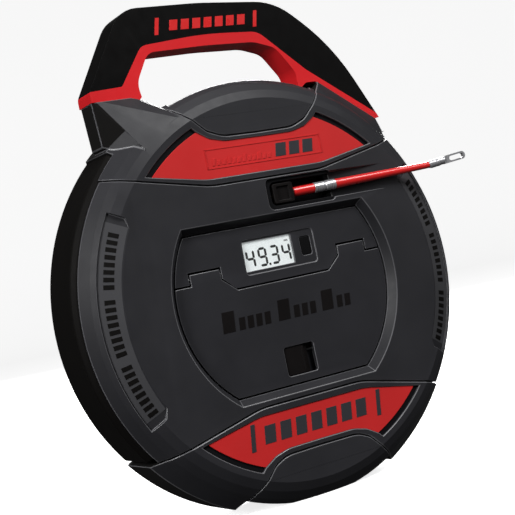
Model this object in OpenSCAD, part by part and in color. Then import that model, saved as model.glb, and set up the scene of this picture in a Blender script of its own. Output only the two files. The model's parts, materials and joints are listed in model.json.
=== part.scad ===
// Fish tape reel: a round carrying case with a free-turning basket of glass-fibre rod, a length
// counter in the front recess, a hinged accessory lid and a rod lead that leaves through a pocket.
// Millimetres. X right, Z up, the front faces -Y. Z = 0 is the standing flat under the case.

/* [Case] */
// Height of the basket's axle above the standing flat
axle_h = 147; // [146.5:0.5:148]
// Overall thickness of the case, front to back
case_t = 62; // [62:1:66]
// Radius of the flat front face, out to its crease
face_r = 134.2; // [133:0.2:135]
// Radius of the shoulder's outer edge
shoulder_r = 151.5; // [151:0.1:152]
// Outer radius of the rubber rim bumper
rim_r = 155; // [154:0.5:156]
// Wall thickness of the case
wall = 5.2; // [5:0.1:5.6]

/* [Front recess] */
// Radius of the lid and counter panel
lid_r = 86; // [84:0.5:86]
// Upper flat of the counter panel above the axle
panel_top = 47; // [46:0.5:47]
// Lower flat of the lid below the axle
panel_bottom = 67; // [66:0.5:67]
// Depth of the panels below the face
panel_depth = 6; // [5:0.5:6]
// Gap around the panels
panel_gap = 1.2; // [1:0.1:1.4]

/* [Handle] */
// Thickness of the grip, front to back
handle_t = 22; // [20:1:24]
// Height of the handle's crown above the axle
crown_z = 208; // [206:1:210]

/* [Rod and basket] */
// Radius of the glass-fibre rod
rod_r = 1.5; // [1.5:0.1:1.5]
// Inner radius of the coiled rod
coil_r = 120; // [118:1:124]
// Outer radius of the basket
basket_r = 140; // [139:0.5:140.5]
// Radius of the measuring wheel's tyre
meter_r = 12; // [11:0.5:12]

/* [Hidden] */
$fn = 96;

front = -case_t / 2;            // Y of the front face
back = case_t / 2;              // Y of the rear face
wall_r = 149.4;                 // outer radius of the case wall under the bumper
cavity_r = wall_r - wall;       // inner radius of the case
skin = 3;                       // thickness of the frame pieces let into the face
groove = 1.1;                   // width of the dark line around the frame pieces
far = 200;                      // reach of cutting shapes beyond the case

// ---- helpers ----

// A slab between two Y planes from a drawing in X and Z.
module slab(y0, y1) translate([0, y1, 0]) rotate([90, 0, 0]) linear_extrude(y1 - y0) children();

// A body of revolution about the axle from a drawing in radius and Y.
module turned() rotate([-90, 0, 0]) rotate_extrude($fn = 180) children();

// A round bar along Y.
module bar_y(r, y0, y1) translate([0, y1, 0]) rotate([90, 0, 0]) cylinder(r = r, h = y1 - y0);

// A round bar along X.
module bar_x(r, x0, x1) translate([x0, 0, 0]) rotate([0, 90, 0]) cylinder(r = r, h = x1 - x0);

// A box given by two opposite corners.
module block(a, b) translate(a) cube(b - a);

// Everything is drawn about the axle and then lifted to stand on Z = 0.
module lifted() translate([0, 0, axle_h]) children();

// Outlines are lists of [x, z, corner radius]; each rounded corner is a true tangent arc.
function unit(v) = v / norm(v);
function turn(a) = a > 180 ? a - 360 : a < -180 ? a + 360 : a;
function corner(a, b, c, r, n) =
    r <= 0 ? [b] :
    let (u = unit(a - b), v = unit(c - b), half = acos(u * v) / 2)
    let (start = b + u * r / tan(half), end = b + v * r / tan(half))
    let (centre = b + unit(u + v) * r / sin(half))
    let (a0 = atan2(start.y - centre.y, start.x - centre.x))
    let (a1 = atan2(end.y - centre.y, end.x - centre.x))
    [for (i = [0:n]) centre + r * [cos(a0 + turn(a1 - a0) * i / n), sin(a0 + turn(a1 - a0) * i / n)]];
function xz(p) = [p[0], p[1]];
function rounded(p, n = 6) =
    let (m = len(p))
    [for (i = [0:m - 1]) each corner(xz(p[(i + m - 1) % m]), xz(p[i]), xz(p[(i + 1) % m]), p[i][2], n)];

// A right-hand half outline that starts and ends at x = 0, closed by its mirror image.
function whole(half) = [each half, for (i = [len(half) - 2:-1:1]) [-half[i].x, half[i].y]];

// Mirrors a drawing onto the left, where its two copies stay apart or share only the centre.
module both_sides() {
    children();
    mirror([1, 0]) children();
}

// A disc cut by an upper and a lower flat.
module cut_disc(r, top, bottom) intersection() {
    circle(r = r, $fn = 180);
    translate([-r, -bottom]) square([2 * r, top + bottom]);
}

// A rectangle with rounded corners, from its limits.
module pad_shape(x0, z0, x1, z1, r) polygon(rounded([[x0, z0, r], [x1, z0, r], [x1, z1, r], [x0, z1, r]]));

// ---- case profiles, radius against Y ----

shoulder = [[face_r, front], [140.5, front + 3], [146, front + 7.3], [shoulder_r, front + 14.5]];
pocket_line = [[face_r - 1.2, front + skin], [138.6, front + 5.6], [143.6, front + 9.6],
               [wall_r, front + 16]];
cavity_line = [[130.5, front + wall], [136.6, front + 8], [141.5, front + 11.8], [cavity_r, front + 16]];

// Full outside of the front half, without its hollow.
module front_solid() turned()
    polygon([[0, front], each shoulder, [shoulder_r, front + 16], [wall_r, front + 16],
             [wall_r, 0], [0, 0]]);

// The front half with its frame pockets taken off everywhere.
module front_core() turned() polygon([[0, front + skin], each pocket_line, [wall_r, 0], [0, 0]]);

module front_hollow() turned() polygon([[0, front + wall], each cavity_line, [cavity_r, 1], [0, 1]]);

rear_line = [[wall_r, 0], [wall_r, back - 1.8], [147, back]];
module rear_solid() turned() polygon([[0, 0], each rear_line, [0, back]]);

// ---- outlines on the face ----

// Upper frame: its lower curve sits above the recess, its upper edge borders the inset between the arms.
function top_frame_half(g) = rounded([[0, 78.7 - g, 0], [45, 78.7 - g, 60], [99, 89.5 - g, 160],
    [165, 106.8 - g, 0], [165, 190, 0], [92, 190, 0], [70 - g, 142, 0], [50 - g, 124.5, 30],
    [40, 115 + g, 12], [28, 110.4 + g, 25], [0, 110 + g, 0]]);
module top_frame_shape(g = 0) polygon(whole(top_frame_half(g)));

// Lower guard: the same band upside down, with feet beside the inset.
function guard_half(g) = rounded([[0, -77 + g, 0], [42, -77 + g, 60], [99.5, -90.5 + g, 160],
    [165, -108.4 + g, 0], [165, -190, 0], [108, -190, 0], [66 - g, -140, 0], [50 - g, -126.3, 30],
    [40, -116 - g, 12], [30, -111.4 - g, 25], [0, -111 - g, 0]]);
module guard_shape(g = 0) polygon(whole(guard_half(g)));

inlay_r = 125.4;                // outer arc of the inlays
seat_r = 129.4;                 // outer arc of the black seats under them
seat_depth = 2.4;               // depth of the seats' pockets
module top_inlay_shape(outer = inlay_r) intersection() {
    circle(r = outer, $fn = 180);
    polygon(whole(rounded([[0, 82.8, 0], [47, 82.8, 60], [87, 89.8, 0],
        [150, 102.6, 0], [150, 190, 0], [78, 145, 0], [48, 115.7, 0],
        [39.5, 110.3, 12], [27.5, 107.4, 25], [0, 107.2, 0]])));
}
module bottom_inlay_shape(outer = inlay_r) intersection() {
    circle(r = outer, $fn = 180);
    polygon(whole(rounded([[0, -82, 0], [44, -82, 60], [86.5, -90.3, 0],
        [150, -103, 0], [150, -190, 0], [78, -145, 0], [48, -116, 0],
        [38.5, -110.5, 12], [27.5, -107.8, 25], [0, -107.6, 0]])));
}

// Split between the counter panel and the lid, as the area above it.
function split_half(g) = [[0, 6 + g], [38.3 + g / 2, 6 + g], [48.7 - g / 4, 15 + g],
    [48.7 - g, 22.4 + g], [73 + g, 22.4 + g], [73 + g, 14.4 + g], [92, 14.4 + g], [92, 60], [0, 60]];
module above_split(g) polygon(whole(split_half(g)));

// ---- case ----

well_r = lid_r + panel_gap;
well_top = panel_top + panel_gap;
well_bottom = panel_bottom + panel_gap;
bevel = 4.3;                    // how far the recess's bevel runs in
collar_d = 12;                  // depth of the collar around the recess

module recess() {
    intersection() {
        turned() polygon([[0, front - 1], [well_r + bevel * 7 / 6, front - 1],
                          [well_r, front + 6], [0, front + 6]]);
        rotate([90, 0, 90]) translate([0, 0, -far / 2]) linear_extrude(far)
            polygon([[front - 1, well_top + bevel * 7 / 6], [front + 6, well_top],
                     [front + 6, -well_bottom], [front - 1, -well_bottom - bevel * 7 / 6]]);
    }
    slab(front + 5.9, front + collar_d + 1) cut_disc(well_r, well_top, well_bottom);
}

// Pocket through which the rod leads out, with a ramp that runs out on the face.
pocket = [[-3, 54.6], [53.5, 76.4]];
module exit_pocket() {
    slab(front - 1, front + wall + 1)
        pad_shape(pocket[0].x, pocket[0].y, pocket[1].x, pocket[1].y, 4);
    translate([0, 0, 56.5]) linear_extrude(18.8)
        polygon([[48, front - 1], [106, front - 1], [98, front], [48, front + 6]]);
}

// Conical recess across the crease for each side label strip, with its inner corners cut off.
strip_half_angle = 30.6;        // half angle of the strip on its outer side
strip_corner_angle = 28.2;      // half angle of the strip where its cut corners meet its inner side
strip_corner_r = 131;           // radius where the cut corners end
strip_in = 126.2;               // inner radius, where the recess meets the face
strip_out = 142.5;
strip_depth = 6.2;              // depth behind the face at the outer radius
function around(r, a) = r * [cos(a), sin(a)];
strip_side = [around(strip_in - 16, strip_corner_angle), around(strip_in, strip_corner_angle),
              around(strip_corner_r, strip_half_angle), around(rim_r + 15, strip_half_angle)];
module side_strips() intersection() {
    turned() polygon([[strip_in, front - 2], [strip_in, front],
                      [strip_out, front + strip_depth], [strip_out, front - 2]]);
    slab(front - 3, front + 8) both_sides()
        polygon([each strip_side, for (i = [3:-1:0]) [strip_side[i].x, -strip_side[i].y]]);
}

screw_ring = (wall_r + cavity_r) / 2;
screw_angles = [for (i = [0:7]) 22.5 + 45 * i];
module at_screws() for (a = screw_angles)
    translate([screw_ring * cos(a), 0, screw_ring * sin(a)]) children();

inset_half_angle = 23;          // half angle of the set-back rim between the arms and between the feet
module inset_sector() slab(front - 1, 1) both_sides() {
    polygon([[0, 0], [0, far], [far * tan(inset_half_angle), far]]);
    polygon([[0, 0], [0, -far], [far * tan(inset_half_angle + 2), -far]]);
}

module front_shell() color("#3b3b3f") lifted() difference() {
    union() {
        difference() {
            front_solid();
            front_hollow();
            intersection() {
                turned() polygon([[wall_r, front + 5], [wall_r, 1], [far, 1], [far, front + 5]]);
                inset_sector();
            }
        }
        slab(front + 3, front + collar_d) cut_disc(well_r + 3, well_top + 3, well_bottom + 3);
        slab(front + 3, front + 9) translate([53.5, 54]) square([16.5, 23.5]);
    }
    difference() {
        slab(front - 1, 1) {
            top_frame_shape(groove);
            guard_shape(groove);
        }
        front_core();
    }
    recess();
    exit_pocket();
    side_strips();
    at_screws() bar_y(1.5, -9, 1);
    slab(front - 1, 1) translate([-far / 2, -axle_h - far]) square([far, far]);
}

module rear_shell() color("#2b2b2e") lifted() difference() {
    union() {
        difference() {
            rear_solid();
            turned() polygon([[0, -1], [cavity_r, -1],
                              [cavity_r, back - wall - 1], [cavity_r - 3, back - wall + 1],
                              [0, back - wall + 1]]);
        }
        for (i = [0:11]) rotate([0, 30 * i, 0])
            block([38, back - wall - 0.5, -1.2], [112, back - wall + 1.5, 1.2]);
    }
    turned() polygon([[112, back - 1.2], [124, back - 1.2], [124, back + 1], [112, back + 1]]);
    turned() polygon([[0, back - 1.5], [34, back - 1.5], [34, back + 1], [0, back + 1]]);
    at_screws() bar_y(1.6, -1, back + 1);
    at_screws() bar_y(2.5, back - 4.5, back + 1);
    bar_y(5.2, 0, back + 1);
    slab(-1, back + 1) translate([-far / 2, -axle_h - far]) square([far, far]);
}

// The bumper runs on each side from the lower guard up to the foot of the arm above it.
left_end = 46.3;                // angle above the axle where the bumper ends on the left
right_end = 39.3;               // and on the right
guard_end = 37.3;               // angle below the axle where both sides end
module rim_sectors(g) slab(front + 10, back + 1) {
    polygon([[0, 0], [far, far * tan(right_end + g)], [far, -far * tan(guard_end)]]);
    polygon([[0, 0], [-far, far * tan(left_end + g)], [-far, -far * tan(guard_end)]]);
}
module rim_bumper() color("#141312") lifted() intersection() {
    turned() polygon([[wall_r, front + 16.2], [shoulder_r, front + 16.2], [rim_r, front + 20],
                      [rim_r, back - 5], [152.5, back - 1.8], [wall_r, back - 1.8]]);
    rim_sectors(0);
}

// ---- frame pieces ----

guard_r = 156.5;                // rim radius of the frame pieces
module frame_skin() difference() {
    turned() polygon([[0, front], each shoulder, [guard_r, front + 20], [guard_r, back - 5],
                      [153.5, back - 1], [wall_r, back - 1], [wall_r, front + 16.2], [wall_r, 0], [0, 0]]);
    front_core();
    rear_solid();
}

// Corner points for a convex block; each is a speck whose size is lost in the block.
speck = 0.02;
module block_through(points) hull() for (p = points) translate(p) cube(speck, center = true);

arm_top = handle_t / 2 - 0.5;   // half thickness of an arm where the handle lands
arm_root = case_t / 2 - 0.3;    // half thickness of an arm at the crease, just under the skin
horn_front = [[-108.1, 149], [-82, 149], [-75.4, 147]];
horn_mid = [[-110.4, 149], [-108.8, 117], [-101, 112]];
swoosh_front = [[71.2, 145.6], [117.2, 112.4], [121.3, 101.2]];
swoosh_mid = [[54.6, 141.5], [52, 132], [62, 146], [71.4, 146], [118, 112.6], [122.6, 102], [119.6, 97]];

// The tall left arm leans out from the crease; the right one follows the rim.
module left_arm() block_through([
    for (s = [-1, 1]) each [
        for (p = horn_front) [p.x, s * arm_top, p.y],
        for (p = horn_mid) [p.x, s * 9, p.y],
        for (a = [112:8.5:129]) [face_r * cos(a), s * arm_root, face_r * sin(a)]]]);
module right_arm() block_through([
    for (s = [-1, 1]) each [
        for (p = swoosh_front) [p.x, s * arm_top, p.y],
        for (p = swoosh_mid) [p.x, s * 7, p.y],
        for (a = [38:10:68]) [face_r * cos(a), s * arm_root, face_r * sin(a)]]]);

bolt_spots = [[-93, 134], [90.1, 125.2]];
module handle_tongues() slab(-5, 5) {
    polygon([[-104, 156], [-86, 156], [-84, 124], [-102, 124]]);
    polygon([[76, 147.5], [104, 128], [97.5, 115.8], [75.5, 130.6]]);
}
module at_bolts() for (p = bolt_spots) translate([p.x, 0, p.y]) children();

module top_frame() color("#47474c") lifted() difference() {
    intersection() {
        union() {
            frame_skin();
            difference() {
                union() {
                    left_arm();
                    right_arm();
                }
                front_core();
                rear_solid();
            }
        }
        slab(front - 1, back) top_frame_shape();
    }
    slab(front - 1, front + seat_depth) top_inlay_shape(seat_r);
    intersection() {
        turned() polygon([[wall_r - 1, front + 16], [far, front + 16],
                          [far, back + 1], [wall_r - 1, back + 1]]);
        rim_sectors(0.2);
    }
    handle_tongues();
    at_bolts() bar_y(2.5, -8, back + 1);
    at_bolts() bar_y(4.2, 9, back + 1);
    slab(-30, 30) polygon(handle_outline());
}

module bottom_guard() color("#3f3f44") lifted() difference() {
    intersection() {
        frame_skin();
        slab(front - 1, back) guard_shape();
    }
    slab(front - 1, front + seat_depth) bottom_inlay_shape(seat_r);
}

inlay_t = 1;
inlay_back = front + 1.8;       // Y where the inlays lie on their seats
module top_inlay() color("#c93030") lifted() slab(inlay_back - inlay_t, inlay_back) top_inlay_shape();
module bottom_inlay() color("#c93030") lifted()
    slab(inlay_back - inlay_t, inlay_back) bottom_inlay_shape();
module inlay_seats() color("#0e0e0e") lifted() slab(inlay_back, front + seat_depth) {
    top_inlay_shape(seat_r);
    bottom_inlay_shape(seat_r);
}

// ---- handle ----

// Whole handle, black and red together, down to where it lands on the arms.
function handle_outline() = rounded([[-110.6, 147.4, 0], [-110.6, 154, 8], [-77, 209, 24],
    [-15, crown_z + 1.6, 300], [48, 206.5, 50], [91, 171, 150], [121, 111.5, 0],
    [117, 111, 0], [71, 144.4, 8], [61.6, 144.4, 4], [54, 139, 0],
    [54.5, 153, 12], [41, 172.5, 14], [24, 178, 30], [-15, 178.8, 300], [-62, 177.5, 10],
    [-74.5, 157, 16], [-73, 147.6, 0], [-75, 145.6, 0], [-82, 147.8, 0]]);
// Line between the black core and the red grip, as the area outside it.
function core_area() = rounded([[-130, 153.6, 0], [-86, 156, 3], [-66, 182.6, 10], [-15, 187.2, 300],
    [29, 185.4, 16], [64, 153.9, 3], [130, 107.5, 0], [140, 230, 0], [-130, 230, 0]]);

module handle_core() color("#0c0c0d") lifted() difference() {
    union() {
        intersection() {
            slab(-handle_t / 2, handle_t / 2) polygon(handle_outline());
            slab(-handle_t, handle_t) polygon(core_area());
        }
        handle_tongues();
    }
    at_bolts() bar_y(2.5, -8, 9);
}

module handle_grip() color("#d8252a") lifted() difference() {
    slab(-handle_t / 2, handle_t / 2) polygon(handle_outline());
    slab(-handle_t, handle_t) polygon(core_area());
    handle_tongues();
}

module handle_bolts() color("silver") lifted() at_bolts() {
    bar_y(2.5, -8, 9);
    difference() {
        bar_y(4, 9, 12.5);
        translate([0, 13, 0]) rotate([90, 0, 0]) cylinder(r = 2.1, h = 2.5, $fn = 6);
    }
}

module shell_screws() color("silver") lifted() at_screws() {
    bar_y(1.5, -9, back - 4.5);
    difference() {
        bar_y(2.4, back - 4.5, back - 2.5);
        translate([0, back - 2, 0]) rotate([90, 0, 0]) cylinder(r = 1.2, h = 1.6, $fn = 6);
    }
}

// ---- counter ----

hinge_z = 18.5;                 // hinge line above the axle
hinge_y = front + 8.2;
pin_r = 1;
panel_y = front + panel_depth;
panel_t = 2.4;
window = [[-28.5, 13.5], [31, 38]];
glass = [[-28.4, 16], [12.5, 36.5]];
button = [[19.6, 19.8], [27.8, 32.8]];
module button_shape(g, r) pad_shape(button[0].x - g, button[0].y - g, button[1].x + g, button[1].y + g, r);

module counter_housing() color("#35353a") lifted() difference() {
    union() {
        slab(panel_y, panel_y + panel_t) intersection() {
            cut_disc(lid_r, panel_top, 0);
            above_split(0.6);
        }
        slab(front + 9, front + 11) difference() {
            cut_disc(well_r, well_top, 0);
            translate([-far / 2, -far]) square([far, far + 26]);
        }
        slab(panel_y + panel_t, front + 9) intersection() {
            cut_disc(lid_r, panel_top, 0);
            translate([-far / 2, 26]) square([far, far]);
        }
        slab(panel_y + panel_t, front + 25) translate([-42, 8.5]) square([86, 36.5]);
        for (s = [-1, 1]) slab(panel_y, front + 14) translate([s > 0 ? 42 : -48, 15.6]) square([6, 12]);
        for (s = [-1, 1]) slab(panel_y, front + 14) translate([s > 0 ? 73.8 : -79, 15.6]) square([5.2, 12]);
    }
    slab(front, panel_y + 0.8) pad_shape(window[0].x, window[0].y, window[1].x, window[1].y, 2.5);
    slab(panel_y - 1, front + 10.5) pad_shape(glass[0].x, glass[0].y, glass[1].x, glass[1].y, 0.8);
    slab(panel_y - 1, front + 10.6) button_shape(0.3, 2);
    slab(front + 10.5, front + 26) translate([-40, 10.5]) square([82, 32.5]);
    for (s = [-1, 1]) slab(front, front + 15) translate([s > 0 ? 48.1 : -73.6, 10]) square([25.5, 13.2]);
    for (s = [-1, 1]) translate([0, hinge_y, hinge_z]) bar_x(pin_r, s > 0 ? 45 : -76, s > 0 ? 76 : -45);
}

module lcd_module() color("#dfe3e3") lifted()
    slab(front + 8, front + 10.5) pad_shape(glass[0].x, glass[0].y, glass[1].x, glass[1].y, 0.8);
module display_window() color("lightblue", 0.4) lifted()
    slab(panel_y + 0.9, front + 8) pad_shape(glass[0].x, glass[0].y, glass[1].x, glass[1].y, 0.8);

board_y = front + 15;
module circuit_board() color("darkgreen") lifted() {
    slab(board_y, board_y + 1.6) translate([-40, 10.5]) square([82, 32.5]);
    slab(front + 10.5, board_y) translate([-24, 18]) square([32, 3]);
    slab(board_y - 1, board_y) translate([20.7, 23.3]) square([6, 6]);
}
module battery() color("silver") lifted() translate([-18, 0, 27]) bar_y(10, board_y + 1.6, board_y + 4.8);

module reset_button() color("#1a1a1b") lifted() {
    slab(front + 7, front + 11) pad_shape(button[0].x, button[0].y, button[1].x, button[1].y, 1.8);
    slab(front + 11, front + 12) button_shape(1.5, 1.8);
    translate([23.7, 0, 26.3]) bar_y(1.5, front + 12, front + 12.8);
}
module button_spring() color("silver") lifted() translate([23.7, 0, 26.3]) difference() {
    bar_y(3.8, front + 12, board_y);
    bar_y(3.2, front + 11, board_y + 1);
    slab(board_y - 1.01, board_y + 1) translate([-3, -3]) square([6, 6]);
}

// ---- lid, latch and tray ----

latch_hole = [[-12.3, -61.5], [12.6, -41]];
module lid() color("#38383c") lifted() difference() {
    union() {
        slab(panel_y, panel_y + panel_t) difference() {
            cut_disc(lid_r, panel_top, panel_bottom);
            above_split(-0.6);
        }
        for (s = [-1, 1]) translate([0, hinge_y, hinge_z])
            bar_x(2.2, s > 0 ? 49.4 : -72.4, s > 0 ? 72.4 : -49.4);
        slab(panel_y + panel_t, front + 14) translate([-17, -64.3]) square([34, 26]);
    }
    slab(front, panel_y + panel_t + 0.1)
        pad_shape(latch_hole[0].x, latch_hole[0].y, latch_hole[1].x, latch_hole[1].y, 2);
    slab(panel_y + panel_t, front + 12.6) translate([-15, -62.5]) square([30, 22.5]);
    block([-11.5, front + 9.6, -65], [2.5, front + 12.6, -62]);
    for (s = [-1, 1]) translate([0, hinge_y, hinge_z])
        bar_x(pin_r + 0.05, s > 0 ? 48 : -75, s > 0 ? 75 : -48);
}
module hinge_pins() color("silver") lifted() for (s = [-1, 1])
    translate([0, hinge_y, hinge_z]) bar_x(pin_r, s > 0 ? 45 : -76, s > 0 ? 76 : -45);

module latch() color("#161617") lifted() {
    slab(front + 8.8, front + 10.3) translate([-14.7, -62.2]) square([22.4, 21.9]);
    slab(front + 7, front + 8.8) pad_shape(-11.8, -61, 4.6, -41.4, 1.5);
    slab(front + 6.6, front + 7) translate([2.4, -59.5]) square([1.4, 16.6]);
    block([-11, front + 10, -64.7], [-4.8, front + 12, -58]);
    block([5.7, front + 10, -48], [7.7, front + 12, -44]);
}
module latch_spring() color("silver") lifted() translate([0, front + 11.5, -46]) difference() {
    bar_x(1.0, 7.8, 14.9);
    bar_x(0.6, 7, 16);
}

tray_bottom = front + 33;       // Y of the tray's floor, outside
module tray_shape(inset) intersection() {
    cut_disc(lid_r + 0.4 - inset, 3.6 - inset, panel_bottom + 0.4 - inset);
    circle(r = 100);
}
module accessory_tray() color("#1b1b1c") lifted() difference() {
    union() {
        slab(front + 9.4, tray_bottom) tray_shape(0);
        slab(front + 10, front + collar_d) cut_disc(well_r, 3.6, well_bottom);
    }
    slab(front + 9, tray_bottom - 2.2) tray_shape(2.2);
}

// ---- rod exit ----

lead_az = atan2(-0.12, 1);      // the lead points a little outwards from the face
lead_el = 0.95;                 // and a little upwards
lead_from = [0, front + 7.7, 64.66];
module along_lead() translate(lead_from) rotate([0, -lead_el, lead_az]) children();
tip_el = 5.5;                   // the tip is bent up a little more
tip_start = 136;
tip_from = lead_from + tip_start * [cos(lead_el) * cos(lead_az), cos(lead_el) * sin(lead_az), sin(lead_el)];
module along_tip() translate(tip_from) rotate([0, -tip_el, lead_az]) children();

module guide_housing() color("#101011") lifted() difference() {
    slab(front + 2, front + 16) pad_shape(pocket[0].x, pocket[0].y, pocket[1].x, pocket[1].y, 4);
    slab(front, front + 14) pad_shape(1, 57.2, 50.5, 73.8, 4);
    slab(front, front + 5.9) translate([40, 57.2]) square([20, 16.6]);
    along_lead() bar_x(2.2, -20, 3);
}
module rod_nozzle() color("#1d1d1e") lifted() difference() {
    slab(front + 1.2, front + 14) pad_shape(3, 58.5, 19.5, 72.6, 1.5);
    slab(front, front + 2.6) translate([6, 60.5]) square([10, 10]);
    along_lead() bar_x(rod_r + 0.08, -5, 30);
}

rod_back = -93;                 // where the straight inner run of rod ends
module rod_tail() color("#d2c9a0") lifted() along_lead() bar_x(rod_r, rod_back, 21);
module lead_sleeve() color("#d3272b") lifted() along_lead() bar_x(3.4, 21, 38);
module lead_ferrule() color("silver") lifted() along_lead() difference() {
    bar_x(3.7, 38, 55.3);
    difference() {
        bar_x(5, 46, 47.4);
        bar_x(3.2, 45, 48);
    }
}
module lead_tube() color("#d3272b") lifted() along_lead()
    translate([55.3, 0, 0]) rotate([0, 90, 0]) cylinder(r1 = 3.5, r2 = 2.4, h = tip_start - 55.3);
stem_r = 1.2;                   // stem on which the eye turns in the ferrule
module tip_ferrule() color("silver") lifted() along_tip() rotate([0, 90, 0]) rotate_extrude()
    polygon([[0, 0.3], [2.5, 0.3], [3.1, 2.6], [3.1, 6.4], [2.8, 6.8], [2.8, 7.2], [3.1, 7.6], [3.1, 9.8],
             [stem_r + 0.05, 9.8], [stem_r + 0.05, 5], [0, 5]]);

// The eye is a flat loop with a long slot, on a short round neck that turns in the ferrule.
eye_from = 10.1;
eye_to = 33.2;
module swivel_eye() color("silver") lifted() along_tip() difference() {
    union() {
        bar_x(2.8, eye_from, eye_from + 4);
        bar_x(stem_r, 5.3, eye_from + 1);
        slab(-1.6, 1.6) pad_shape(eye_from + 2, -3, eye_to, 3, 2.95);
    }
    slab(-5, 5) pad_shape(eye_from + 8.6, -1.7, eye_to - 1.5, 1.7, 1.65);
}

// ---- basket, axle and coil ----

basket_back = back - 9;         // rear of the basket's disc
basket_front = front + 13.5;    // front of the basket's lip
module basket() color("#232325") lifted() difference() {
    turned() polygon([[11, back - 22.5], [18, back - 22.5],
                      [18, basket_back - 2.5], [basket_r - 2.6, basket_back - 2.5],
        [basket_r - 2.6, basket_front + 2], [123, basket_front + 2], [123, basket_front],
        [basket_r, basket_front], [basket_r, basket_back], [11, basket_back]]);
    for (i = [0:7]) rotate([0, 45 * i, 0]) slab(basket_back - 5, basket_back + 1) polygon(
        [for (a = [-14:7:14]) 104 * [cos(a), sin(a)], for (a = [10:-5:-10]) 36 * [cos(a), sin(a)]]);
}
module hub_bush() color("#b5893f") lifted() difference() {
    bar_y(11, back - 22.5, basket_back);
    bar_y(8.05, 0, back);
}
module axle() color("silver") lifted() difference() {
    union() {
        bar_y(8, back - 24.2, back - wall - 1);
        bar_y(20, back - wall - 1, back - wall + 1);
    }
    bar_y(2.5, 0, 20);
}
module axle_washer() color("silver") lifted() difference() {
    bar_y(12, back - 25.4, back - 24.2);
    bar_y(2.5, 0, back);
}
module axle_bolt() color("silver") lifted() {
    bar_y(2.5, back - 25.4, 20);
    bar_y(4.5, back - 28, back - 25.4);
}
module rod_coil() color("#d2c9a0") lifted() turned()
    polygon([[coil_r, basket_front + 2], [basket_r - 2.6, basket_front + 2],
             [basket_r - 2.6, basket_back - 2.5], [coil_r, basket_back - 2.5]]);

// ---- length sensor ----

meter_x = -62;
rod_y = lead_from.y - 0.12 * meter_x;
rod_z = lead_from.z + 0.0167 * meter_x;
meter_y = rod_y + rod_r + meter_r + 0.15;
roller_r = 4;
roller_y = rod_y - rod_r - roller_r - 0.15;
shell_inner = front + wall;

module wheel_bracket() color("#2a2a2c") lifted() difference() {
    union() {
        for (z = [rod_z - 7, rod_z + 5])
            block([meter_x - 10, shell_inner, z], [meter_x + 10, meter_y + 6, z + 2]);
        block([meter_x - 16, shell_inner, rod_z - 7], [meter_x - 14, meter_y + 6, rod_z + 7]);
        for (z = [rod_z - 7, rod_z + 5])
            block([meter_x - 16, shell_inner, z], [meter_x - 9, meter_y + 6, z + 2]);
    }
    translate([meter_x, meter_y, 0]) cylinder(r = 2, h = 120);
    translate([meter_x, roller_y, 0]) cylinder(r = 1, h = 120);
    translate([meter_x - 17, rod_y + 1.8, rod_z]) bar_x(3, 0, 4);
}
module measuring_wheel() color("#e8e8e6") lifted() translate([meter_x, meter_y, rod_z - 4.5]) difference() {
    cylinder(r = meter_r - 2, h = 9);
    translate([0, 0, -1]) cylinder(r = 2.05, h = 11);
}
module measuring_tyre() color("#222222") lifted() translate([meter_x, meter_y, rod_z - 4]) difference() {
    cylinder(r = meter_r, h = 8);
    translate([0, 0, -1]) cylinder(r = meter_r - 2, h = 10);
}
module wheel_shaft() color("silver") lifted()
    translate([meter_x, meter_y, rod_z - 7]) cylinder(r = 2, h = 14);
module pinch_roller() color("#3a3a3a") lifted() translate([meter_x, roller_y, rod_z - 4.5]) difference() {
    cylinder(r = roller_r, h = 9);
    translate([0, 0, -1]) cylinder(r = 1.05, h = 11);
}
module roller_pin() color("silver") lifted()
    translate([meter_x, roller_y, rod_z - 7]) cylinder(r = 1, h = 14);

// ---- back ----

module rear_hub_cover() color("#141414") lifted() difference() {
    bar_y(33.4, back - 1.5, back);
    for (a = [0:60:300]) rotate([0, a, 0]) translate([24, 0, 0]) bar_y(2.2, back - 0.6, back + 1);
}
module rear_pads() color("#1c1c1c") lifted() for (a = [45:90:315])
    translate([118 * cos(a), 0, 118 * sin(a)]) bar_y(5.8, back - 1.2, back + 1.3);

front_shell();
rear_shell();
rim_bumper();
top_frame();
bottom_guard();
top_inlay();
bottom_inlay();
inlay_seats();
handle_core();
handle_grip();
handle_bolts();
shell_screws();
counter_housing();
display_window();
lcd_module();
circuit_board();
battery();
reset_button();
button_spring();
accessory_tray();
lid();
hinge_pins();
latch();
latch_spring();
guide_housing();
rod_nozzle();
basket();
hub_bush();
axle();
axle_washer();
axle_bolt();
rod_coil();
wheel_bracket();
measuring_wheel();
measuring_tyre();
wheel_shaft();
pinch_roller();
roller_pin();
rod_tail();
lead_sleeve();
lead_ferrule();
lead_tube();
tip_ferrule();
swivel_eye();
rear_hub_cover();
rear_pads();
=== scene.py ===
"""Looks of the fish tape reel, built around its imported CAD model.

Metres, in the CAD model's frame: +Z is up and the front faces -Y.
"""

import json
import math

import bmesh
import bpy
from mathutils import Matrix, Vector

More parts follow.
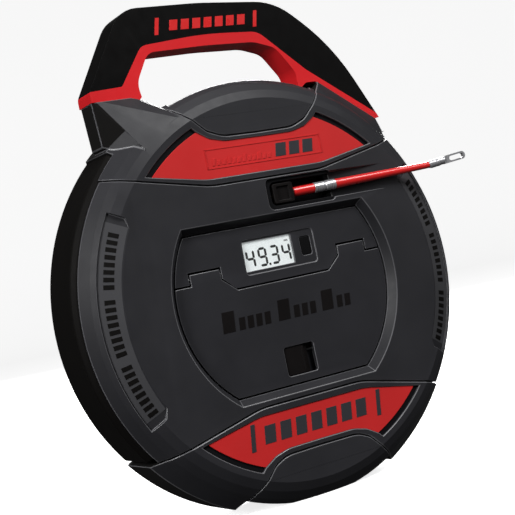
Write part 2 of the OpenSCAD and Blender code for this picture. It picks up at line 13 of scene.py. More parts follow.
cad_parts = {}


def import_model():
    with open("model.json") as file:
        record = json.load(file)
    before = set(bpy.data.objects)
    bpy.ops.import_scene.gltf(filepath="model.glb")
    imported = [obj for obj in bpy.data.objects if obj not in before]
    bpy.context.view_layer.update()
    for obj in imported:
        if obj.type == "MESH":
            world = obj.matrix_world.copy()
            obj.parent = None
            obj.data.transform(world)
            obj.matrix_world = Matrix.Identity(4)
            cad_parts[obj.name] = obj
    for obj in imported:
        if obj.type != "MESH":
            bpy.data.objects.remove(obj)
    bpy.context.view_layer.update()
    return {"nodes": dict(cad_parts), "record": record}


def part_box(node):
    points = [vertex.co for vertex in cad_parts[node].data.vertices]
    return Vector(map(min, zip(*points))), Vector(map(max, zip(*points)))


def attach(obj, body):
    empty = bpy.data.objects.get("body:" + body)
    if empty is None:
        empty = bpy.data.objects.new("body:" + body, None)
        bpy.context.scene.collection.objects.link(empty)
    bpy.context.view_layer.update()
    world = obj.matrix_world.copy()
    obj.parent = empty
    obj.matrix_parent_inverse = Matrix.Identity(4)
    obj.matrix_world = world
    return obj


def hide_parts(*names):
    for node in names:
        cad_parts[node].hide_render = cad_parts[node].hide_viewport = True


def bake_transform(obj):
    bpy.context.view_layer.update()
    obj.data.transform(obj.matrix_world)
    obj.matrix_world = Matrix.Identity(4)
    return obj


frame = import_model()
nodes = frame["nodes"]
slot_of = {part["node"]: part["material_slot"] for part in frame["record"]["subparts"]}

MM = 0.001
AXLE_H = 147 * MM               # height of the basket's axle
FRONT = -31 * MM                # Y of the front face


def at(x, depth, z):
    """A point given in millimetres from the axle, with its depth behind the front face."""
    return Vector((x * MM, FRONT + depth * MM, AXLE_H + z * MM))


# ---- materials ----


def set_inputs(shader, values):
    for name, value in values.items():
        shader.inputs[name].default_value = value


class Maker:
    """Adds nodes to one material and links them."""

    def __init__(self, name):
        self.material = bpy.data.materials.new(name)
        self.material.use_nodes = True
        self.tree = self.material.node_tree
        self.shader = self.tree.nodes["Principled BSDF"]
        self.coords = self.add("ShaderNodeTexCoord").outputs["Object"]

    def add(self, kind, **settings):
        node = self.tree.nodes.new(kind)
        for name, value in settings.items():
            setattr(node, name, value)
        return node

    def link(self, a, b):
        self.tree.links.new(a, b)

    def noise(self, per_mm, detail=3.0, stretch=(1, 1, 1)):
        """Noise with a number of cells per millimetre, drawn out where stretch is under 1."""
        mapping = self.add("ShaderNodeMapping")
        mapping.inputs["Scale"].default_value = Vector(stretch) * per_mm / MM
        self.link(self.coords, mapping.inputs["Vector"])
        node = self.add("ShaderNodeTexNoise")
        set_inputs(node, {"Scale": 1.0, "Detail": detail, "Roughness": 0.55})
        self.link(mapping.outputs["Vector"], node.inputs["Vector"])
        return node.outputs["Fac"]

    def spread(self, fac, low, high, lo=0.3, hi=0.7):
        """Maps a noise value onto low..high."""
        node = self.add("ShaderNodeMapRange")
        set_inputs(node, {"From Min": lo, "From Max": hi, "To Min": low, "To Max": high})
        self.link(fac, node.inputs["Value"])
        return node.outputs["Result"]

    def blend(self, fac, a, b):
        """Mixes two colours, where each is a colour or a socket."""
        node = self.add("ShaderNodeMix", data_type="RGBA")
        self.link(fac, node.inputs["Factor"])
        for key, value in (("A", a), ("B", b)):
            socket = [s for s in node.inputs if s.name == key and s.type == "RGBA"][0]
            if isinstance(value, bpy.types.NodeSocket):
                self.link(value, socket)
            else:
                socket.default_value = (*value, 1)
        return [s for s in node.outputs if s.type == "RGBA"][0]

    def bump(self, fac, depth_mm, strength=1.0):
        node = self.add("ShaderNodeBump")
        set_inputs(node, {"Distance": depth_mm * MM, "Strength": strength})
        self.link(fac, node.inputs["Height"])
        self.link(node.outputs["Normal"], self.shader.inputs["Normal"])


def shade(colour, factor):
    return tuple(min(1.0, c * factor) for c in colour)


def moulded_maker(name, colour, rough, grain=0.35, depth=0.02, vary=0.12, worn=0.0, **inputs):
    """Moulded plastic or rubber: a fine spark-eroded grain, slight cloudiness, and a painted highlight
    that lightens sharp edges.

    grain and depth are the size and height of the grain in millimetres.
    """
    m = Maker(name)
    cloud = m.noise(0.02, 2.0)
    tone = m.blend(m.spread(cloud, 0, 1), shade(colour, 1 - vary), shade(colour, 1 + vary))
    # Painted highlight: sharp edges, found by pointiness, are lightened towards 2.2 times the colour.
    if worn:
        edge = m.add("ShaderNodeNewGeometry").outputs["Pointiness"]
        tone = m.blend(m.spread(edge, 0, worn, 0.52, 0.62), tone, shade(colour, 2.2))
    m.link(tone, m.shader.inputs["Base Color"])
    fine = m.noise(1 / grain, 4.0)
    m.link(m.spread(m.noise(0.12, 3.0), rough - 0.04, rough + 0.05), m.shader.inputs["Roughness"])
    m.bump(fine, depth)
    set_inputs(m.shader, inputs)
    return m


def moulded(*args, **kwargs):
    return moulded_maker(*args, **kwargs).material


# The frame's outer side walls and left-facing flank are painted near black, as painted shade.
WALL_NORMAL_Y = (0.30, 0.36)     # |Y| of the normal, from a side wall to a sloping face
FLANK_NORMAL_X = (-0.50, -0.42)  # X of the normal, from a left-facing flank to the faces beside it
FLANK_R = (156.6, 157.0)         # mm from the axle, over which the flank starts to count
WALL_BAND = 0.5                  # mm over which the painted shade of a wall sets in
SIDE_SHADE_ROUGH = 0.95           # roughness of the painted shade


def plastic_with_painted_side_shade(name, colour, side_shade_colour, wall_r, rough, **inputs):
    """Moulded plastic whose outer side walls and left-facing flank are painted near black, as painted
    shade.

    A side wall counts beyond wall_r, in millimetres from the axle.
    """
    m = moulded_maker(name, colour, rough, worn=0.5, **inputs)
    face_tone = m.shader.inputs["Base Color"].links[0].from_socket
    face_rough = m.shader.inputs["Roughness"].links[0].from_socket

    def maths(operation, a, b=None):
        node = m.add("ShaderNodeMath", operation=operation)
        m.link(a, node.inputs[0])
        if b is not None:
            m.link(b, node.inputs[1])
        return node.outputs[0]

    normal = m.add("ShaderNodeSeparateXYZ")
    m.link(m.add("ShaderNodeNewGeometry").outputs["True Normal"], normal.inputs["Vector"])
    place = m.add("ShaderNodeSeparateXYZ")
    m.link(m.coords, place.inputs["Vector"])
    flat_place = m.add("ShaderNodeCombineXYZ")
    m.link(place.outputs["X"], flat_place.inputs["X"])
    m.link(place.outputs["Z"], flat_place.inputs["Z"])
    reach = m.add("ShaderNodeVectorMath", operation="DISTANCE")
    m.link(flat_place.outputs["Vector"], reach.inputs[0])
    reach.inputs[1].default_value = (0, 0, AXLE_H)
    axle_distance = reach.outputs["Value"]

    # Painted shade: side walls beyond wall_r and the left-facing flank are blended to the shade colour and
    # made rough.
    wall_shade = maths("MULTIPLY",
                 m.spread(maths("ABSOLUTE", normal.outputs["Y"]), 1, 0, *WALL_NORMAL_Y),
                 m.spread(axle_distance, 0, 1, wall_r * MM, (wall_r + WALL_BAND) * MM))
    flank_shade = maths("MULTIPLY",
                  m.spread(normal.outputs["X"], 1, 0, *FLANK_NORMAL_X),
                  m.spread(axle_distance, 0, 1, FLANK_R[0] * MM, FLANK_R[1] * MM))
    side = maths("MAXIMUM", wall_shade, flank_shade)
    m.link(m.blend(side, face_tone, side_shade_colour), m.shader.inputs["Base Color"])
    shade_rough = m.spread(side, 0, SIDE_SHADE_ROUGH, 0, 1)
    m.link(maths("MAXIMUM", face_rough, shade_rough), m.shader.inputs["Roughness"])
    return m.material


def metal(name, colour, rough, along=(1, 1, 1), depth=0.004, metallic=1.0):
    """Turned or drawn metal, with fine marks along one direction and faint cloudiness."""
    m = Maker(name)
    cloud = m.spread(m.noise(0.08, 2.0), 0, 1)
    m.link(m.blend(cloud, shade(colour, 0.86), shade(colour, 1.06)), m.shader.inputs["Base Color"])
    marks = m.noise(1.5, 3.0, along)
    m.link(m.spread(marks, rough * 0.7, rough * 1.4), m.shader.inputs["Roughness"])
    m.bump(marks, depth, 0.5)
    m.shader.inputs["Metallic"].default_value = metallic
    return m.material


def rod_material():
    """Glass-fibre rod: long strands under a thin clear coat."""
    m = Maker("glass_fibre")
    strands = m.noise(2.5, 4.0, (0.05, 1, 1))
    m.link(m.blend(m.spread(strands, 0, 1), (0.52, 0.43, 0.22), (0.72, 0.65, 0.42)),
           m.shader.inputs["Base Color"])
    m.link(m.spread(strands, 0.28, 0.42), m.shader.inputs["Roughness"])
    m.bump(strands, 0.02)
    set_inputs(m.shader, {"Coat Weight": 0.4, "Coat Roughness": 0.1})
    return m.material


def board_material():
    """Printed circuit board: solder mask over a pattern of square tracks."""
    m = Maker("board_green")
    tracks = m.add("ShaderNodeTexBrick")
    set_inputs(tracks, {"Scale": 260.0, "Mortar Size": 0.03, "Color1": (0.01, 0.12, 0.04, 1),
                        "Color2": (0.01, 0.10, 0.03, 1), "Mortar": (0.03, 0.24, 0.08, 1)})
    turn = m.add("ShaderNodeMapping")
    turn.inputs["Rotation"].default_value = (math.radians(90), 0, 0)
    m.link(m.coords, turn.inputs["Vector"])
    m.link(turn.outputs["Vector"], tracks.inputs["Vector"])
    m.link(tracks.outputs["Color"], m.shader.inputs["Base Color"])
    m.link(m.spread(m.noise(0.5), 0.25, 0.4), m.shader.inputs["Roughness"])
    m.bump(tracks.outputs["Fac"], 0.03)
    return m.material


def window_material():
    """Thin clear window: mostly see-through, with its own gloss."""
    m = Maker("window_clear")
    m.link(m.blend(m.spread(m.noise(0.05), 0, 1), (0.80, 0.84, 0.86), (0.88, 0.91, 0.92)),
           m.shader.inputs["Base Color"])
    m.link(m.spread(m.noise(0.4), 0.03, 0.08), m.shader.inputs["Roughness"])
    m.shader.inputs["Alpha"].default_value = 0.05
    return m.material


def lcd_material():
    """Reflective display: pale and even, with a very fine pixel-cell grain and a faint painted glow."""
    m = Maker("lcd_glass")
    m.link(m.blend(m.spread(m.noise(0.9, 2.0), 0, 1), (0.70, 0.75, 0.75), (0.80, 0.84, 0.84)),
           m.shader.inputs["Base Color"])
    m.link(m.spread(m.noise(0.3), 0.25, 0.35), m.shader.inputs["Roughness"])
    # Painted glow: the display emits a little light though it has no lamp.
    set_inputs(m.shader, {"Emission Color": (0.80, 0.84, 0.84, 1), "Emission Strength": 0.20})
    return m.material


SATIN = {"Specular IOR Level": 0.20}
DULL = {"Specular IOR Level": 0.08}
# Black of the rubber rim, also the painted shade on the frame's side walls and flank.
RUBBER_AND_SHADE_BLACK = (0.004, 0.0035, 0.0032)
MATERIALS = {
    "case_plastic": moulded("case_plastic", (0.0215, 0.0215, 0.0245), 0.46, worn=0.5, **SATIN),
    "back_plastic": moulded("back_plastic", (0.016, 0.016, 0.018), 0.50, worn=0.4, **SATIN),
    "rim_rubber": moulded("rim_rubber", RUBBER_AND_SHADE_BLACK, 0.62, 0.5, 0.03, **DULL),
    "frame_plastic": plastic_with_painted_side_shade("frame_plastic", (0.0210, 0.0210, 0.0240), RUBBER_AND_SHADE_BLACK, 147, 0.42,
                              **SATIN),
    "inlay_red": moulded("inlay_red", (0.54, 0.022, 0.022), 0.42, 0.5, 0.01, 0.05, **SATIN),
    "handle_black": moulded("handle_black", (0.0022, 0.0020, 0.0020), 0.40, 0.45, 0.015, worn=0.5,
                            **DULL),
    "grip_red": moulded("grip_red", (0.60, 0.012, 0.016), 0.42, 0.5, 0.015, 0.06, **SATIN),
    "steel": metal("steel", (0.56, 0.56, 0.56), 0.30, (1, 0.1, 1)),
    "panel_plastic": moulded("panel_plastic", (0.0190, 0.0190, 0.0220), 0.46, worn=0.5, **SATIN),
    "window_clear": window_material(),
    "lcd_glass": lcd_material(),
    "board_green": board_material(),
    "nickel": metal("nickel", (0.62, 0.60, 0.57), 0.22),
    "button_rubber": moulded("button_rubber", (0.003, 0.003, 0.0035), 0.55, 0.4, 0.02, **DULL),
    "inner_plastic": moulded("inner_plastic", (0.005, 0.005, 0.006), 0.55, **DULL),
    "latch_black": moulded("latch_black", (0.007, 0.006, 0.006), 0.40, 0.4, 0.008, **DULL),
    "bush_bronze": metal("bush_bronze", (0.42, 0.25, 0.09), 0.38, (1, 0.2, 1), 0.01),
    "glass_fibre": rod_material(),
    "wheel_white": moulded("wheel_white", (0.66, 0.66, 0.63), 0.40, vary=0.04),
    "lead_red": moulded("lead_red", (0.62, 0.014, 0.014), 0.30, 0.8, 0.01, 0.06,
                        **{"Coat Weight": 0.3}),
    "chrome_fitting": metal("chrome_fitting", (0.50, 0.50, 0.52), 0.28, (1, 0.15, 0.15), 0.001, 0.65),
}

STRIP = moulded("strip_label", (0.050, 0.050, 0.054), 0.5, **SATIN)

# Rounded edges get a lighter material, a painted highlight on the bevels.
EDGE_HIGHLIGHT_GREY = (0.095, 0.095, 0.102)
EDGES = {
    "case_plastic": moulded("case_edge", EDGE_HIGHLIGHT_GREY, 0.34, vary=0.3),
    "frame_plastic": moulded("frame_edge", EDGE_HIGHLIGHT_GREY, 0.34, vary=0.3),
    "panel_plastic": moulded("panel_edge", EDGE_HIGHLIGHT_GREY, 0.36, vary=0.3),
    "handle_black": moulded("handle_edge", (0.020, 0.020, 0.021), 0.30, vary=0.3),
}


def dress(obj, slot):
    """Gives a piece its slot's material, and a CAD node the lighter one for its rounded edges too, a
    painted highlight.
    """
    obj.data.materials.clear()
    obj.data.materials.append(MATERIALS[slot])
    if slot in EDGES and obj.name in nodes:
        obj.data.materials.append(EDGES[slot])


# ---- CAD nodes: clean edges and their materials ----

# Width of each node's rounded edges. The rear shell and the nodes left out keep their sharp ones.
EDGE_MM = {
    "front_shell": 0.45, "rim_bumper": 1.0, "top_frame": 0.6, "bottom_guard": 0.6,
    "top_inlay": 0.2, "bottom_inlay": 0.2, "handle_bolts": 0.3, "shell_screws": 0.2,
    "counter_housing": 0.35, "reset_button": 0.5, "accessory_tray": 0.4, "lid": 0.4, "latch": 0.3,
    "guide_housing": 0.35, "rod_nozzle": 0.35, "basket": 0.5, "lead_ferrule": 0.25, "lead_sleeve": 0.3,
    "tip_ferrule": 0.15, "swivel_eye": 0.45, "rear_hub_cover": 0.5, "rear_pads": 0.4, "hub_bush": 0.3,
    "axle": 0.3, "axle_washer": 0.15, "axle_bolt": 0.2, "wheel_bracket": 0.2, "measuring_wheel": 0.3,
    "measuring_tyre": 0.5, "pinch_roller": 0.3, "battery": 0.3, "circuit_board": 0.1,
}

# Nodes whose fine corner facets would otherwise hold every rounded edge down to almost nothing.
FULL_EDGES = {
    "front_shell", "top_frame", "bottom_guard", "counter_housing", "lid", "guide_housing", "reset_button",
}

WELD_MM = 0.004                 # points this near are one point
FLAT_DEGREES = 0.4              # faces that bend less than this are one face
SMOOTH_DEGREES = 12             # edges sharper than this stay sharp in the shading


def add_bevel(obj, width_mm, segments=2, angle=28.0):
    bevel = obj.modifiers.new("edges", "BEVEL")
    bevel.width = width_mm * MM
    bevel.segments = segments
    bevel.limit_method = "ANGLE"
    bevel.angle_limit = math.radians(angle)
    bevel.use_clamp_overlap = obj.name not in FULL_EDGES
    # The rounded edges take the second material, the painted highlight.
    if len(obj.data.materials) > 1:
        bevel.material = 1
    return bevel


def smooth_group(angle):
    """Geometry nodes that shade a mesh smooth, apart from edges sharper than the angle."""
    group = bpy.data.node_groups.new("smooth_by_angle", "GeometryNodeTree")
    group.interface.new_socket("Geometry", in_out="INPUT", socket_type="NodeSocketGeometry")
    group.interface.new_socket("Geometry", in_out="OUTPUT", socket_type="NodeSocketGeometry")
    start = group.nodes.new("NodeGroupInput")
    end = group.nodes.new("NodeGroupOutput")
    edge_angle = group.nodes.new("GeometryNodeInputMeshEdgeAngle")
    sharp = group.nodes.new("FunctionNodeCompare")
    sharp.data_type, sharp.operation = "FLOAT", "GREATER_THAN"
    sharp.inputs["B"].default_value = math.radians(angle)
    normals = group.nodes.new("GeometryNodeSetMeshNormal")
    normals.mode = "SHARPNESS"
    group.links.new(start.outputs[0], normals.inputs["Mesh"])
    group.links.new(edge_angle.outputs["Unsigned Angle"], sharp.inputs["A"])
    group.links.new(sharp.outputs["Result"], normals.inputs["Edge Sharpness"])
    group.links.new(normals.outputs["Mesh"], end.inputs[0])
    return group


SMOOTH = smooth_group(SMOOTH_DEGREES)


def clean_up(obj):
    """Joins the triangles of each flat face, and shades round faces smooth."""
    weld = obj.modifiers.new("weld", "WELD")
    weld.merge_threshold = WELD_MM * MM
    flat = obj.modifiers.new("flat", "DECIMATE")
    flat.decimate_type = "DISSOLVE"
    flat.angle_limit = math.radians(FLAT_DEGREES)
    obj.modifiers.new("smooth", "NODES").node_group = SMOOTH


def weigh(obj):
    """Lets the largest faces decide the shading, so flat faces look flat up to their rounded edges."""
    weighted = obj.modifiers.new("weighted", "WEIGHTED_NORMAL")
    weighted.keep_sharp = True
    weighted.weight = 100


for name, node in nodes.items():
    dress(node, slot_of[name])
    clean_up(node)
    if name in EDGE_MM:
        add_bevel(node, EDGE_MM[name])

# The handle's core has a wide chamfer in its own colour, whose edges are then rounded and given the
# painted edge highlight.
core = nodes["handle_core"]
add_bevel(core, 2.6, 1, 50).material = -1
add_bevel(core, 0.35, 2, 30)

for node in nodes.values():
    weigh(node)


# ---- small pieces made here ----


def add_object(name, data):
    obj = bpy.data.objects.new(name, data)
    bpy.context.scene.collection.objects.link(obj)
    return obj


def mesh_piece(name, verts, faces, slot, body, smooth_angle):
    """A piece from its points and faces. Without a body it is left for the caller to attach."""
    mesh = bpy.data.meshes.new(name)
    mesh.from_pydata([tuple(v) for v in verts], [], faces)
    mesh.validate()
    obj = add_object(name, mesh)
    mesh.shade_smooth()
    mesh.set_sharp_from_angle(angle=math.radians(smooth_angle))
    dress(obj, slot)
    if body:
        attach(obj, body)
    return obj


def plates(name, shapes, place, slot, body, height=0.25, inset=0.12):
    """Closed thin plates with sloping edges.

    shapes are convex outlines of (u, v) in millimetres; place(u, v, w) gives the point w millimetres
    above the surface. A plate starts a little below the surface.
    """
    root, least_share = -0.1, 0.3
    verts, faces = [], []
    for shape in shapes:
        middle = Vector((sum(p[0] for p in shape), sum(p[1] for p in shape))) / len(shape)
        top = []
        for p in shape:
            away = Vector(p) - middle
            top.append(middle + away * max(least_share, 1 - inset / max(away.length, inset)))
        n, first = len(shape), len(verts)
        verts += [place(p[0], p[1], root) for p in shape]
        verts += [place(p[0], p[1], height - inset) for p in shape]
        verts += [place(p[0], p[1], height) for p in top]
        for ring in (first, first + n):
            for i in range(n):
                j = (i + 1) % n
                faces.append([ring + i, ring + j, ring + n + j, ring + n + i])
        faces.append([first + 2 * n + i for i in range(n)])
        faces.append([first + i for i in reversed(range(n))])
    obj = mesh_piece(name, verts, faces, slot, body, 20)
    fix_normals(obj)
    return obj


def fix_normals(obj):
    bm = bmesh.new()
    bm.from_mesh(obj.data)
    bmesh.ops.recalc_face_normals(bm, faces=bm.faces)
    bm.to_mesh(obj.data)
    bm.free()


def slanted(x, z, width, height, lean):
    """A slanted bar whose lower left corner is at (x, z)."""
    shift = height * lean
    return [(x, z), (x + width, z), (x + width + shift, z + height), (x + shift, z + height)]


def slanted_row(count, x, pitch, z, width, height, lean):
    return [slanted(x + pitch * i, z, width, height, lean) for i in range(count)]


def box_shape(x, z, width, height):
    return [(x, z), (x + width, z), (x + width, z + height), (x, z + height)]


def on_face(depth):
    """Places marks on a surface that faces forwards, at that depth behind the front face."""
    return lambda u, v, w: at(u, depth - w, v)


def sweep(name, points, radius, sides, slot, body):
    """A round bar along a line of points, with closed ends and a frame that turns as little as it can."""
    points = [Vector(p) for p in points]
    heading = (points[1] - points[0]).normalized()
    side = heading.orthogonal().normalized()
    verts, faces = [], []
    last = len(points) - 1
    for i, p in enumerate(points):
        ahead = (points[min(i + 1, last)] - points[max(i - 1, 0)]).normalized()
        side = (side - ahead * side.dot(ahead)).normalized()
        other = ahead.cross(side)
        for k in range(sides):
            turn = 2 * math.pi * k / sides
            verts.append(p + (side * math.cos(turn) + other * math.sin(turn)) * radius)
    for i in range(last):
        for k in range(sides):
            a, b = i * sides + k, i * sides + (k + 1) % sides
            faces.append([a, b, b + sides, a + sides])
    faces.append(list(reversed(range(sides))))
    faces.append([last * sides + k for k in range(sides)])
    return mesh_piece(name, verts, faces, slot, body, 50)


# ---- the display ----

READING = "4934"
LIT = {"4": "fgbc", "9": "abcdfg", "3": "abcdg"}
DIGIT_W, DIGIT_H, DIGIT_PITCH = 7.2, 13.4, 9.9
STROKE = 1.75
STROKE_GAP = 0.12
DOT = 1.6


def digit_segments(x, z, lit):
    """Outlines of the lit strokes of one digit, from its lower left corner in millimetres."""
    mid = z + DIGIT_H / 2
    t = STROKE / 2

    def level(zc):
        a, b = x + t + STROKE_GAP, x + DIGIT_W - t - STROKE_GAP
        return [(a, zc), (a + t, zc - t), (b - t, zc - t), (b, zc), (b - t, zc + t), (a + t, zc + t)]

    def upright(xc, z0, z1):
        a, b = z0 + STROKE_GAP, z1 - STROKE_GAP
        return [(xc, a), (xc + t, a + t), (xc + t, b - t), (xc, b), (xc - t, b - t), (xc - t, a + t)]

    made = {
        "a": level(z + DIGIT_H - t), "g": level(mid), "d": level(z + t),
        "f": upright(x + t, mid, z + DIGIT_H - t), "b": upright(x + DIGIT_W - t, mid, z + DIGIT_H - t),
        "c": upright(x + DIGIT_W - t, z + t, mid),
    }
    return [made[k] for k in lit]


def display():
    """Four digits with a decimal dot after the second, and three bars of battery charge above them."""
    low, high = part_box("lcd_module")
    left, bottom = low.x / MM + 2.6, (low.z - AXLE_H) / MM + 1.6
    shapes = []
    for i, figure in enumerate(READING):
        shapes += digit_segments(left + DIGIT_PITCH * i, bottom, LIT[figure])
    dot_x = left + DIGIT_PITCH * 2 - (DIGIT_PITCH - DIGIT_W) / 2 - DOT / 2
    shapes.append(box_shape(dot_x, bottom, DOT, DOT))
    for i in range(3):
        shapes.append(box_shape(high.x / MM - 5.2 + 1.1 * i, bottom + DIGIT_H + 1.1, 0.7, 1.2))
    plates("display_digits", shapes, on_face(8), "rim_rubber", "case", 0.06, 0.02)


display()

# ---- generic marks in place of lettering ----

# Surfaces by their depth behind the front face. Positions on them are in millimetres from the axle.
INLAY = on_face(0.8)
LID = on_face(6)
HANDLE = on_face(20)

marks = slanted_row(7, -42, 9.2, 191.5, 6.4, 7.4, 0.25)
marks += slanted_row(2, -54, 80, 189, 3, 12, 0.25)
plates("handle_marks", marks, HANDLE, "lead_red", "case", 0.2)

marks = slanted_row(3, 10.5, 11.4, 91.4, 8.6, 9.4, 0.2)
plates("top_inlay_marks", marks, INLAY, "frame_plastic", "case", 0.2)

# A row of small bars, every third one taller, in a thin frame.
marks = [slanted(-41 + 4.1 * i, 91.4, 2.3, 3.4 if i % 3 else 5.0, 0.2) for i in range(12)]
marks += [box_shape(-45, 89.4, 95, 0.5), box_shape(-45, 102.6, 95, 0.5)]
marks += [box_shape(-45, 89.4, 0.5, 13.7), box_shape(49.5, 89.4, 0.5, 13.7)]
plates("top_inlay_relief", marks, INLAY, "inlay_red", "case", 0.35)

marks = slanted_row(7, -44.5, 12.8, -101, 8.8, 12.4, 0.15)
marks += slanted_row(2, -56, 106, -104, 3.4, 18.4, 0.15)
plates("bottom_inlay_marks", marks, INLAY, "frame_plastic", "case", 0.2)

# Three words, each a tall bar and a few small ones.
marks = []
for start, small in ((-56, 4), (-11, 3), (26, 2)):
    marks.append(slanted(start, -22, 9.6, 14.4, 0.1))
    marks += slanted_row(small, start + 13, 6.9, -22, 4.8, 8.6, 0.1)
plates("lid_marks", marks, LID, "latch_black", "lid", 0.2)

# The side strips lie on a cone: mm from the axle, and mm behind the face at the outer radius.
STRIP_IN, STRIP_OUT, STRIP_DEPTH = 126.2, 142.5, 6.2
STRIP_MEAN_R = 135


def on_strip(r, a, w):
    """Places marks on a side strip's floor: r mm from the axle, a mm along the arc, w mm above it."""
    slope = (STRIP_OUT - STRIP_IN) / STRIP_DEPTH
    turn = a / STRIP_MEAN_R
    depth = (r - STRIP_IN) / slope
    return at(r * math.cos(turn), depth - w, r * math.sin(turn))


def other_strip(r, a, w):
    p = on_strip(r, a, w)
    return Vector((-p.x, p.y, p.z))


# Three words of eight bars, and a floor of narrow tiles that follow the cone.
bars = [box_shape(131.4, -65 + 4.9 * i, 6.6, 3.0) for i in range(27) if i % 9 != 8]
TILE = 1.9
tiles = [box_shape(127, TILE * i - 66.5, 14.6, TILE) for i in range(70)]
SIDES = (("right", on_strip), ("left", other_strip))
for side, place in SIDES:
    label = plates(side + "_strip_label", tiles, place, "case_plastic", "case", 0.08, 0.01)
    label.data.materials[0] = STRIP
for side, place in SIDES:
    plates(side + "_strip_marks", bars, place, "rim_rubber", "case", 0.3)


# ---- springs and the wound rod ----


def spring(name, axis, turns, wire_mm):
    """A helical spring in place of the CAD tube, left unattached to any body."""
    low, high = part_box(name)
    across = [i for i in range(3) if i != axis]
    middle = (low + high) / 2
    wire = wire_mm * MM
    radius = (high - low)[across[0]] / 2 - wire
    start, end = low[axis] + wire, high[axis] - wire
    per_turn = 20
    steps = turns * per_turn
    points = []
    for k in range(steps + 1):
        turn = 2 * math.pi * k / per_turn
        p = Vector(middle)
        p[axis] = start + (end - start) * k / steps
        p[across[0]] += radius * math.cos(turn)
        p[across[1]] += radius * math.sin(turn)
        points.append(p)
    obj = sweep(name + "_wire", points, wire / 2, 8, "steel", None)
    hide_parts(name)
    held, moved = Vector(middle), Vector(middle)
    held[axis], moved[axis] = end, start
    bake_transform(obj)


def rod_winding():
    """The rod, wound from the inside out in layers that run to and fro across the basket."""
    layers, per_turn = 5, 48
    pitch, radius = 3.05 * MM, 1.5 * MM
    low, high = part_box("rod_coil")
    outer = (high.x - low.x) / 2 - pitch / 2
    width = high.y - low.y
    steps = (int(width / pitch) - 1) * per_turn
    points = []
    for layer in range(layers):
        r = outer - (layers - 1 - layer) * pitch
        for k in range(steps):
            share = k / steps
            y = low.y + pitch / 2 + (width - pitch) * (share if layer % 2 == 0 else 1 - share)
            turn = 2 * math.pi * k / per_turn
            points.append(Vector((r * math.cos(turn), y, AXLE_H + r * math.sin(turn))))
    wound = sweep("rod_winding", points, radius, 6, "glass_fibre", "basket")
    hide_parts("rod_coil")


spring("button_spring", 1, 5, 0.6)
spring("latch_spring", 0, 7, 0.5)
rod_winding()

# ---- the grip, rounded where the hand goes through ----


def rounded_grip():
    """The grip's own shape, with its edges at the hand opening rounded far more than its outer ones."""
    source = nodes["handle_grip"]
    bm = bmesh.new()
    bm.from_mesh(source.data)
    bm.transform(source.matrix_world)
    bmesh.ops.remove_doubles(bm, verts=bm.verts, dist=WELD_MM * MM)
    bmesh.ops.dissolve_limit(bm, angle_limit=math.radians(FLAT_DEGREES), verts=bm.verts, edges=bm.edges)
    bm.normal_update()
    opening = at(-8, 0, 168)        # middle of the hand opening
    reach = 62 * MM                 # from there to the farthest edge of the opening
    rounding = 6.5 * MM
    chosen = []
    for edge in bm.edges:
        flat = [f for f in edge.link_faces if abs(f.normal.y) > 0.9]
        side = [f for f in edge.link_faces if abs(f.normal.y) < 0.3]
        if len(edge.link_faces) != 2 or len(flat) != 1 or len(side) != 1:
            continue
        inward = opening - (edge.verts[0].co + edge.verts[1].co) / 2
        heading = Vector((inward.x, 0, inward.z)).normalized()
        if inward.length < reach and side[0].normal.dot(heading) > 0.25:
            chosen.append(edge)
    bmesh.ops.bevel(bm, geom=chosen, offset=rounding, offset_type="OFFSET", segments=6, profile=0.5,
                    affect="EDGES", clamp_overlap=True)
    mesh = bpy.data.meshes.new("grip_sleeve")
    bm.to_mesh(mesh)
    bm.free()
    obj = add_object("grip_sleeve", mesh)
    mesh.shade_smooth()
    mesh.set_sharp_from_angle(angle=math.radians(30))
    dress(obj, "grip_red")
    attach(obj, "case")
    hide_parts("handle_grip")
    add_bevel(obj, 0.8, 3, 50)
    weigh(obj)


rounded_grip()


# ---- camera, light and backdrop ----


def camera():
    """The camera stands to the left of the front, level with the reel, and is rolled."""
    azimuth, elevation, roll = math.radians(-30.35), math.radians(-0.55), math.radians(-11.78)
    back = Vector((math.sin(azimuth) * math.cos(elevation), -math.cos(azimuth) * math.cos(elevation),
                   math.sin(elevation)))
    right = (-back).cross(Vector((0, 0, 1))).normalized()
    up = right.cross(-back)
    turned_right = right * math.cos(roll) + up * math.sin(roll)
    turned_up = up * math.cos(roll) - right * math.sin(roll)
    data = bpy.data.cameras.new("camera")
    data.lens = 82.97
    data.clip_start = 0.01
    obj = add_object("camera", data)
    basis = Matrix((turned_right, turned_up, back)).transposed()
    obj.matrix_world = Matrix.Translation((-0.4339, -0.7357, 0.1636)) @ basis.to_4x4()
    bpy.context.scene.camera = obj


LIGHT_TARGET = (0, 0, 0.17)


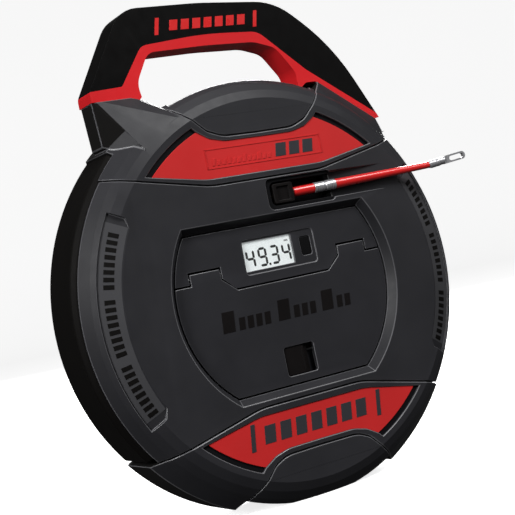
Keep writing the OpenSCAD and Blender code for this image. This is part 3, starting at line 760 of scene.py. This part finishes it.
def softbox(name, place, size, power):
    data = bpy.data.lights.new(name, "AREA")
    data.shape = "RECTANGLE"
    data.size, data.size_y = size
    data.energy = power
    obj = add_object(name, data)
    obj.location = place
    obj.rotation_mode = "QUATERNION"
    obj.rotation_quaternion = (Vector(LIGHT_TARGET) - Vector(place)).to_track_quat("-Z", "Y")


def backdrop():
    """Pale floor that curves up into a pale wall all round."""
    reach, bend, top, around = 4.0, 1.5, 6.0, 72
    profile = [(0.2, 0.0), (1.5, 0.0), (reach, 0.0)]
    for k in range(1, 13):
        rise = math.radians(7.5 * k)
        profile.append((reach + bend * math.sin(rise), bend - bend * math.cos(rise)))
    profile.append((reach + bend, top))
    turns = [2 * math.pi * k / around for k in range(around)]
    verts = [(r * math.sin(turn), r * math.cos(turn), z) for r, z in profile for turn in turns]
    faces = [list(range(around))[::-1]]
    for i in range(len(profile) - 1):
        for k in range(around):
            a, b = i * around + k, i * around + (k + 1) % around
            faces.append([a, b, b + around, a + around])
    mesh = bpy.data.meshes.new("backdrop")
    mesh.from_pydata(verts, [], faces)
    mesh.shade_smooth()
    obj = add_object("backdrop", mesh)
    m = Maker("backdrop")
    m.link(m.blend(m.spread(m.noise(0.002), 0, 1), (0.86, 0.86, 0.86), (0.89, 0.89, 0.89)),
           m.shader.inputs["Base Color"])
    set_inputs(m.shader, {"Roughness": 0.9, "Emission Color": (1, 1, 1, 1), "Emission Strength": 0.8,
                          "Specular IOR Level": 0.1})
    mesh.materials.append(m.material)
    obj.visible_glossy = False
    obj.visible_diffuse = False


def world():
    made = bpy.data.worlds.new("studio")
    made.use_nodes = True
    ground = made.node_tree.nodes["Background"]
    ground.inputs["Color"].default_value = (1, 1, 1, 1)
    ground.inputs["Strength"].default_value = 0.05
    bpy.context.scene.world = made
    bpy.context.scene.view_settings.view_transform = "Standard"


camera()
backdrop()
world()
softbox("key", (0.55, -1.30, 1.75), (1.0, 0.9), 40)
softbox("left", (-1.7, -0.75, 0.9), (0.5, 1.0), 32)
softbox("right_fill", (1.6, -1.2, 0.7), (0.6, 1.0), 3)
softbox("top", (-0.1, 0.1, 1.8), (1.4, 0.6), 4)
softbox("back", (1.2, 1.5, 1.1), (0.9, 0.9), 60)
